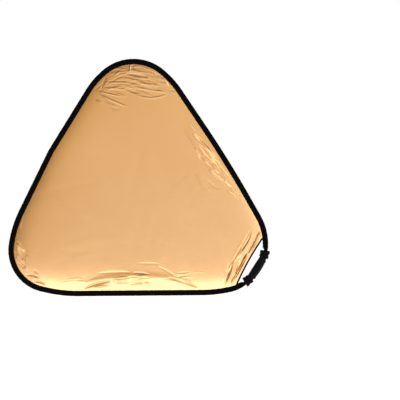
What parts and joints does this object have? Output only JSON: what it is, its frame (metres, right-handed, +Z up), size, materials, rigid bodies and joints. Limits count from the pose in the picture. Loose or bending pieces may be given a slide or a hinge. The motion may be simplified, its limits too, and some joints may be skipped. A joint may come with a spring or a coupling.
{
  "type": "collapsible reflector",
  "caption": "Rounded-triangle pop-up photo reflector: a springy hoop in a black sleeve stretches gold cloth over white cloth, with a moulded grip at one corner; folds on a vertical line.",
  "frame": {"origin": "the middle of the grip, where a hand holds it", "axes": "+Z is up as it is held, the gold face is towards -Y, and the panel lies from the grip towards -X and +Z"},
  "size_m": [1.2121, 0.037, 1.0991],
  "materials": {
    "gold_cloth": "satin metallic",
    "white_cloth": "satin",
    "black_sleeve": "woven",
    "grey_elastic": "ribbed",
    "black_rubber": "matte",
    "black_plastic": "fine grain",
    "spring_steel": "blued",
    "fixing_steel": "dark plated"
  },
  "bodies": {
    "handle_side": {"spring_band_handle_side": "spring_steel", "spring_band_flex_top": "spring_steel", "spring_band_flex_bottom": "spring_steel", "rim_binding_handle_upper": "black_sleeve", "rim_binding_handle_lower": "black_sleeve", "rim_binding_flex_top": "black_sleeve", "rim_binding_flex_bottom": "black_sleeve", "corner_edge_tape": "black_sleeve", "gold_face_handle_side": "gold_cloth", "gold_face_flex": "gold_cloth", "white_face_handle_side": "white_cloth", "white_face_flex": "white_cloth", "upper_collar": "black_rubber", "lower_collar": "black_rubber", "grip_pad_front": "black_rubber", "grip_pad_rear": "black_rubber", "handle_front_shell": "black_plastic", "handle_rear_shell": "black_plastic", "band_clamps": "black_plastic", "strap_plate_upper": "black_plastic", "strap_plate_lower": "black_plastic", "handle_screws": "fixing_steel", "strap_pins": "fixing_steel", "hand_strap": "grey_elastic"},
    "far_side": {"spring_band_far_upper": "spring_steel", "spring_band_far_lower": "spring_steel", "splice_sleeve": "spring_steel", "splice_rivets": "fixing_steel", "rim_binding_far_side": "black_sleeve", "gold_face_far_side": "gold_cloth", "white_face_far_side": "white_cloth"}
  },
  "joints": [
    {"name": "hoop_fold", "type": "hinge", "parent": "handle_side", "child": "far_side", "pos_m": [-0.55, 0, 0.45], "axis": [0, 0, 1], "range_deg": [-160, 160], "stiffness_Nm_per_rad": 2, "deforming": ["gold_face_flex", "white_face_flex", "rim_binding_flex_top", "rim_binding_flex_bottom", "spring_band_flex_top", "spring_band_flex_bottom"]}
  ]
}
